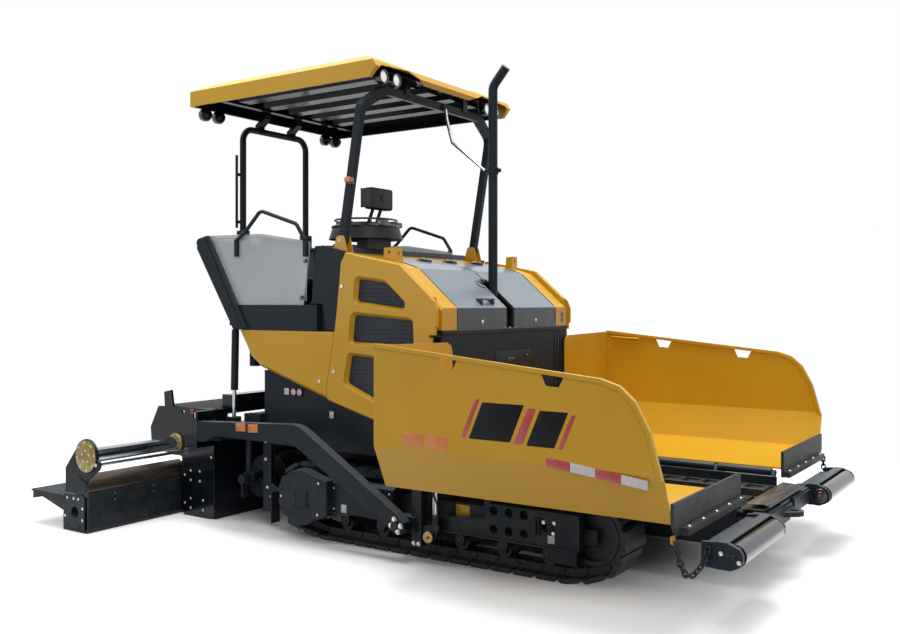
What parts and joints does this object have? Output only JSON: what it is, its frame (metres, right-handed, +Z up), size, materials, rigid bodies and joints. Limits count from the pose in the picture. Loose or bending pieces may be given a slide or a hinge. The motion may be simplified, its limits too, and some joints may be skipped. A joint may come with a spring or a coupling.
{
  "type": "asphalt paver",
  "caption": "Tracked asphalt paver with folding hopper wings, slat conveyors, augers, lifting tow arms, sliding screed extensions and a canopy over the operators.",
  "frame": {"origin": "on the ground, at the centre of the bounding box seen from above", "axes": "+X forward towards the hopper, +Y to the machine's left, +Z up"},
  "size_m": [5.548, 3.77, 3.5887],
  "materials": {
    "yellow_paint": "gloss",
    "dark_paint": "satin",
    "grey_hood": "satin",
    "dark_plastic": "matte",
    "track_steel": "matte",
    "worn_steel": "worn",
    "chrome": "polished",
    "flap_rubber": "matte",
    "seat_leather": "satin",
    "clear_grey": "gloss",
    "engine_metal": "matte"
  },
  "bodies": {
    "machine": {"main_frame": "dark_paint", "conveyor": "worn_steel", "engine_block": "engine_metal", "bulkhead": "dark_paint", "hood_frame": "yellow_paint", "rear_cowl": "dark_paint", "platform": "dark_paint", "seats": "seat_leather", "wind_panels": "clear_grey", "rear_frame": "dark_paint", "console": "dark_plastic", "exhaust_stack": "worn_steel", "canopy_roof": "yellow_paint", "roof_liner": "dark_paint", "front_hoop": "dark_paint", "rear_hoop": "dark_paint", "auger_beam": "dark_paint", "track_frames": "dark_paint", "rear_panels": "yellow_paint", "lower_panels": "dark_paint", "track_left": "track_steel", "track_right": "track_steel", "track_rollers": "track_steel"},
    "wing_left": {"wing_left": "yellow_paint", "wing_flap_left": "flap_rubber"},
    "wing_right": {"wing_right": "yellow_paint", "wing_flap_right": "flap_rubber"},
    "push_beam": {"push_beam": "dark_paint"},
    "push_roller_left": {"push_roller_left": "dark_paint"},
    "push_roller_right": {"push_roller_right": "dark_paint"},
    "auger_left": {"auger_left": "worn_steel"},
    "auger_right": {"auger_right": "worn_steel"},
    "screed": {"tow_arms": "dark_paint", "screed_frame": "dark_paint", "screed_walkway": "dark_paint"},
    "extension_left": {"extension_left": "dark_paint", "extension_tube_left": "chrome"},
    "extension_right": {"extension_right": "dark_paint", "extension_tube_right": "chrome"},
    "lift_barrel_left": {"lift_barrel_left": "dark_paint"},
    "lift_barrel_right": {"lift_barrel_right": "dark_paint"},
    "lift_rod_left": {"lift_rod_left": "chrome"},
    "lift_rod_right": {"lift_rod_right": "chrome"},
    "hood_lid_left": {"hood_lid_left": "grey_hood"},
    "hood_lid_right": {"hood_lid_right": "grey_hood"},
    "side_door_left": {"side_door_left": "yellow_paint"},
    "side_door_right": {"side_door_right": "yellow_paint"}
  },
  "joints": [
    {"name": "wing_left_fold", "type": "hinge", "parent": "machine", "child": "wing_left", "pos_m": [1.5, 0.5, 0.562], "axis": [1, 0, 0], "range_deg": [0, 52]},
    {"name": "wing_right_fold", "type": "hinge", "parent": "machine", "child": "wing_right", "pos_m": [1.5, -0.5, 0.562], "axis": [-1, 0, 0], "range_deg": [0, 52]},
    {"name": "push_beam_swing", "type": "hinge", "parent": "machine", "child": "push_beam", "pos_m": [2.572, 0, 0.4], "axis": [0, 0, 1], "range_deg": [-4, 4]},
    {"name": "push_roller_left_spin", "type": "hinge", "parent": "push_beam", "child": "push_roller_left", "pos_m": [2.712, 0.968, 0.42], "axis": [0, 1, 0], "continuous": true},
    {"name": "push_roller_right_spin", "type": "hinge", "parent": "push_beam", "child": "push_roller_right", "pos_m": [2.712, -0.968, 0.42], "axis": [0, 1, 0], "continuous": true},
    {"name": "auger_left_spin", "type": "hinge", "parent": "machine", "child": "auger_left", "pos_m": [-1.368, 0.5, 0.34], "axis": [0, 1, 0], "continuous": true},
    {"name": "auger_right_spin", "type": "hinge", "parent": "machine", "child": "auger_right", "pos_m": [-1.368, -0.5, 0.34], "axis": [0, 1, 0], "continuous": true},
    {"name": "screed_lift", "type": "hinge", "parent": "machine", "child": "screed", "pos_m": [0.362, 0, 0.246], "axis": [0, 1, 0], "range_deg": [0, 6]},
    {"name": "extension_left_slide", "type": "slide", "parent": "screed", "child": "extension_left", "axis": [0, -1, 0], "range_m": [0, 0.8]},
    {"name": "extension_right_slide", "type": "slide", "parent": "screed", "child": "extension_right", "axis": [0, 1, 0], "range_m": [0, 0.8]},
    {"name": "lift_barrel_left_tilt", "type": "hinge", "parent": "machine", "child": "lift_barrel_left", "pos_m": [-1.453, 0.93, 1.6], "axis": [0, 1, 0], "range_deg": [-6, 0]},
    {"name": "lift_rod_left_stroke", "type": "slide", "parent": "lift_barrel_left", "child": "lift_rod_left", "axis": [0.025, 0, 0.9997], "range_m": [0, 0.19]},
    {"name": "lift_barrel_right_tilt", "type": "hinge", "parent": "machine", "child": "lift_barrel_right", "pos_m": [-1.453, -0.93, 1.6], "axis": [0, 1, 0], "range_deg": [-6, 0]},
    {"name": "lift_rod_right_stroke", "type": "slide", "parent": "lift_barrel_right", "child": "lift_rod_right", "axis": [0.025, 0, 0.9997], "range_m": [0, 0.19]},
    {"name": "hood_lid_left_open", "type": "hinge", "parent": "machine", "child": "hood_lid_left", "pos_m": [-0.141, 0.37, 2.094], "axis": [0, -1, 0], "range_deg": [0, 50]},
    {"name": "hood_lid_right_open", "type": "hinge", "parent": "machine", "child": "hood_lid_right", "pos_m": [-0.141, -0.37, 2.094], "axis": [0, -1, 0], "range_deg": [0, 50]},
    {"name": "side_door_left_open", "type": "hinge", "parent": "machine", "child": "side_door_left", "pos_m": [0.524, 0.995, 1.4], "axis": [0, 0, -1], "range_deg": [0, 80]},
    {"name": "side_door_right_open", "type": "hinge", "parent": "machine", "child": "side_door_right", "pos_m": [0.524, -0.995, 1.4], "axis": [0, 0, 1], "range_deg": [0, 80]}
  ],
  "couplings": [
    {"joint": "lift_barrel_left_tilt", "follows": "screed_lift", "ratio": -0.9118},
    {"joint": "lift_rod_left_stroke", "follows": "screed_lift", "m_per_rad": 1.798},
    {"joint": "lift_barrel_right_tilt", "follows": "screed_lift", "ratio": -0.9118},
    {"joint": "lift_rod_right_stroke", "follows": "screed_lift", "m_per_rad": 1.798}
  ]
}
